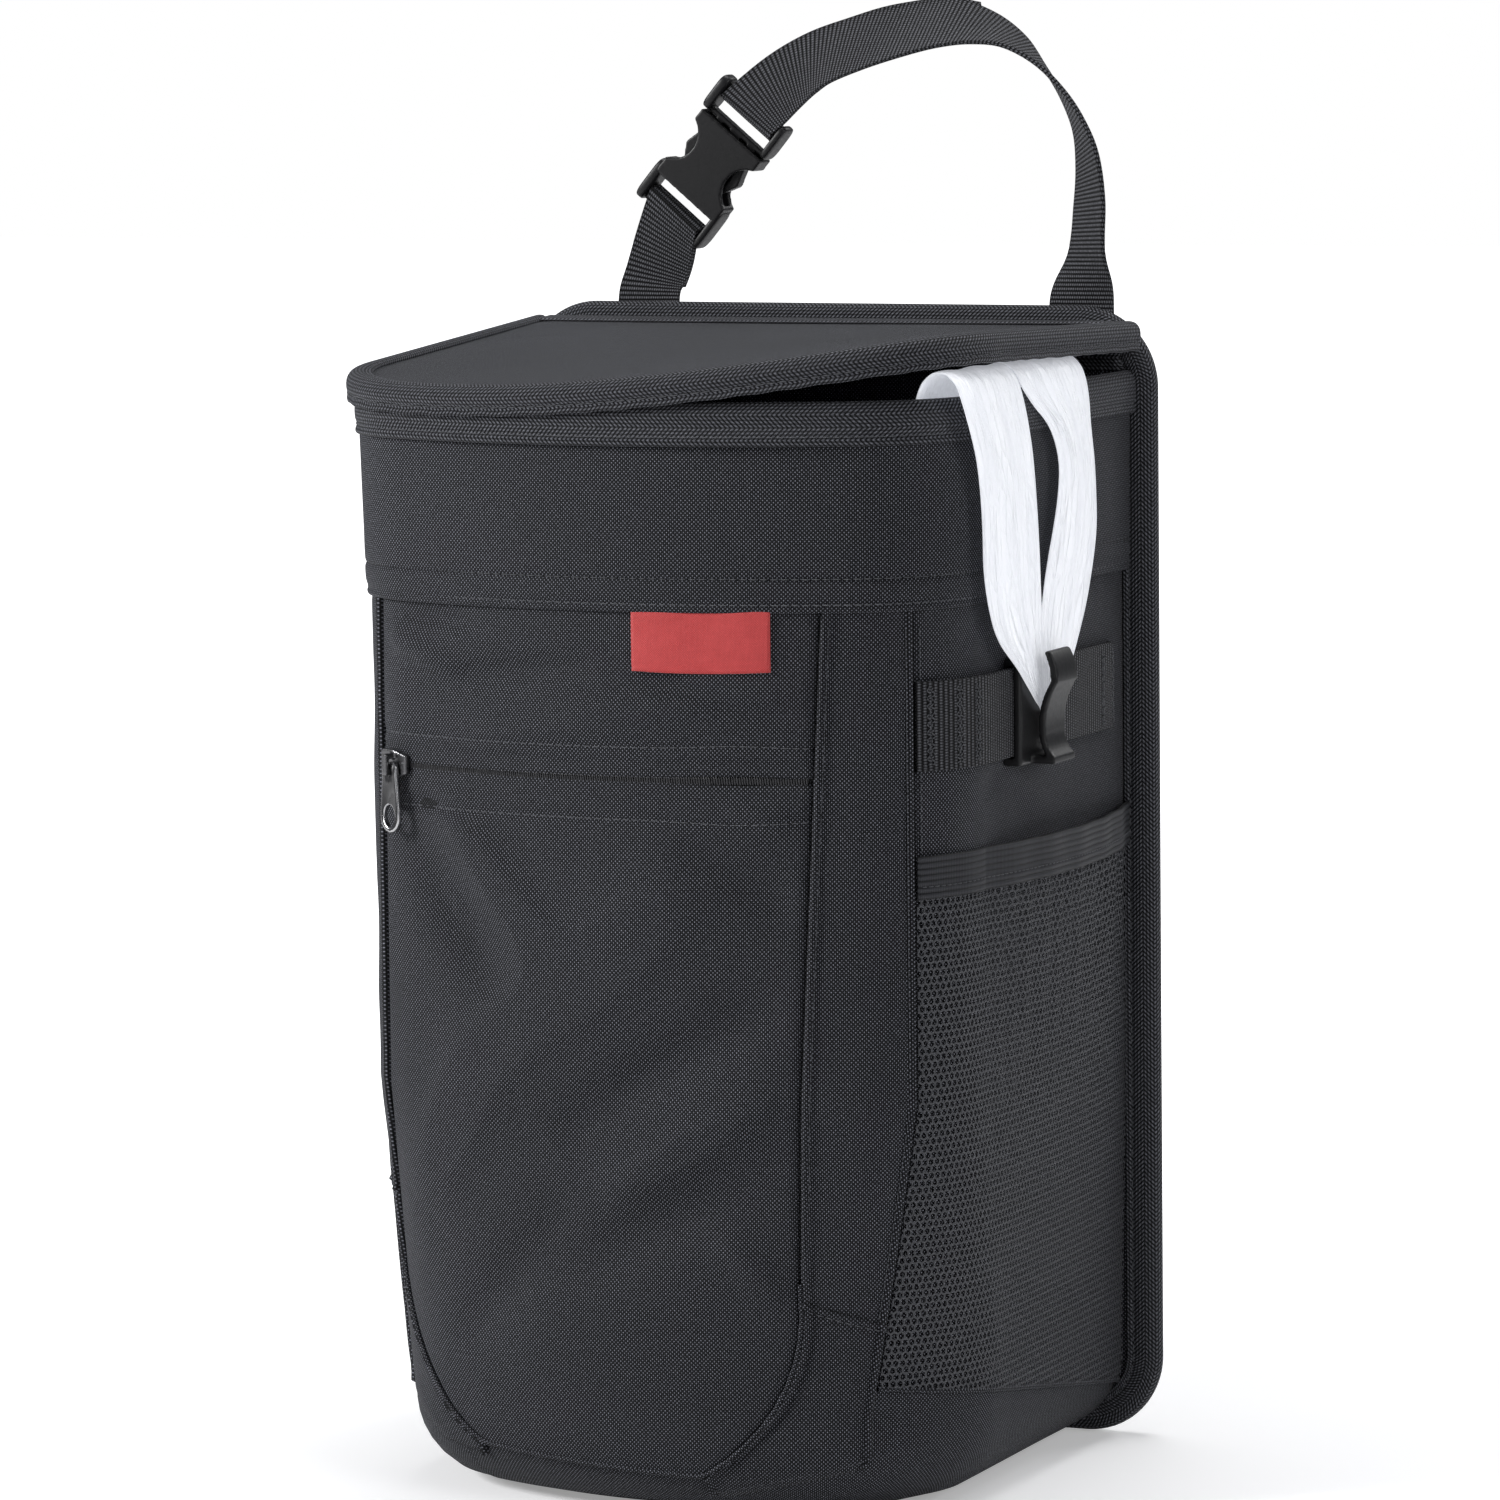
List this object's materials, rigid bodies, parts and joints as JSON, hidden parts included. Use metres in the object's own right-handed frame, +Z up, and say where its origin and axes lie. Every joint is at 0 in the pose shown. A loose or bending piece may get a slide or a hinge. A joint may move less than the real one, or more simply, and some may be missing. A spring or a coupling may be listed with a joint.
{
  "type": "hanging car trash bin",
  "caption": "Soft hanging bin for a car seat back, with a stiff back panel, bound lid, zipped pocket, mesh side pockets, bag hooks and a buckled strap.",
  "frame": {"origin": "on the ground under the middle of the bin's base", "axes": "+X to the right as seen from the front, the front faces -Y, +Z up"},
  "size_m": [0.212, 0.197, 0.4271],
  "materials": {
    "black_cloth": "woven polyester",
    "binding_tape": "herringbone tape",
    "webbing": "ribbed webbing",
    "elastic": "ribbed elastic",
    "mesh_cloth": "hexagonal mesh",
    "liner_film": "satin film",
    "bag_film": "thin translucent film",
    "black_plastic": "satin moulded",
    "zip_plastic": "moulded coil",
    "zip_metal": "nickel plated",
    "red_label": "woven label, bare"
  },
  "bodies": {
    "bin": {"back_panel": "black_cloth", "panel_binding": "binding_tape", "side_panel_right": "black_cloth", "side_panel_left": "black_cloth", "pocket_upper": "black_cloth", "pocket_panel": "black_cloth", "gusset_right": "black_cloth", "gusset_left": "black_cloth", "corner_patch_right": "black_cloth", "corner_patch_left": "black_cloth", "front_wall": "black_cloth", "bottom_panel": "black_cloth", "leakproof_liner": "liner_film", "trash_bag": "bag_film", "collar": "black_cloth", "rim_binding": "binding_tape", "lid_hinge_tape": "binding_tape", "zip_tape": "binding_tape", "zip_coil": "zip_plastic", "brand_label": "red_label", "side_webbing_right": "webbing", "side_webbing_left": "webbing", "mesh_pocket_right": "mesh_cloth", "mesh_pocket_left": "mesh_cloth", "pocket_elastic_right": "elastic", "pocket_elastic_left": "elastic", "strap_long": "webbing", "strap_short": "webbing", "buckle_female": "black_plastic", "bag_handle_front": "bag_film", "bag_handle_rear": "bag_film"},
    "lid": {"lid_panel": "black_cloth", "lid_binding": "binding_tape"},
    "zip_slider": {"zip_slider": "zip_metal"},
    "zip_puller": {"zip_puller": "zip_metal"},
    "buckle_male": {"buckle_male": "black_plastic"},
    "hook_right": {"bag_hook_right": "black_plastic"},
    "hook_left": {"bag_hook_left": "black_plastic"}
  },
  "joints": [
    {"name": "lid_hinge", "type": "hinge", "parent": "bin", "child": "lid", "pos_m": [0, 0.083, 0.3322], "axis": [-1, 0, 0], "range_deg": [0, 90]},
    {"name": "zip_run", "type": "hinge", "parent": "bin", "child": "zip_slider", "pos_m": [0, 0.088, 0.2125], "axis": [0, 0, 1], "range_deg": [0, 43]},
    {"name": "puller_swing", "type": "hinge", "parent": "zip_slider", "child": "zip_puller", "pos_m": [-0.07364, -0.06849, 0.2125], "axis": [-0.9048, 0.4258, 0], "range_deg": [0, 150]},
    {"name": "buckle_release", "type": "slide", "parent": "bin", "child": "buckle_male", "axis": [0.6428, 0, 0.766], "range_m": [0, 0.02], "deforming": ["strap_long"]},
    {"name": "hook_right_run", "type": "slide", "parent": "bin", "child": "hook_right", "axis": [0, 1, 0], "range_m": [0, 0.036], "deforming": ["bag_handle_front", "bag_handle_rear"]},
    {"name": "hook_left_run", "type": "slide", "parent": "bin", "child": "hook_left", "axis": [0, 1, 0], "range_m": [0, 0.036]}
  ]
}
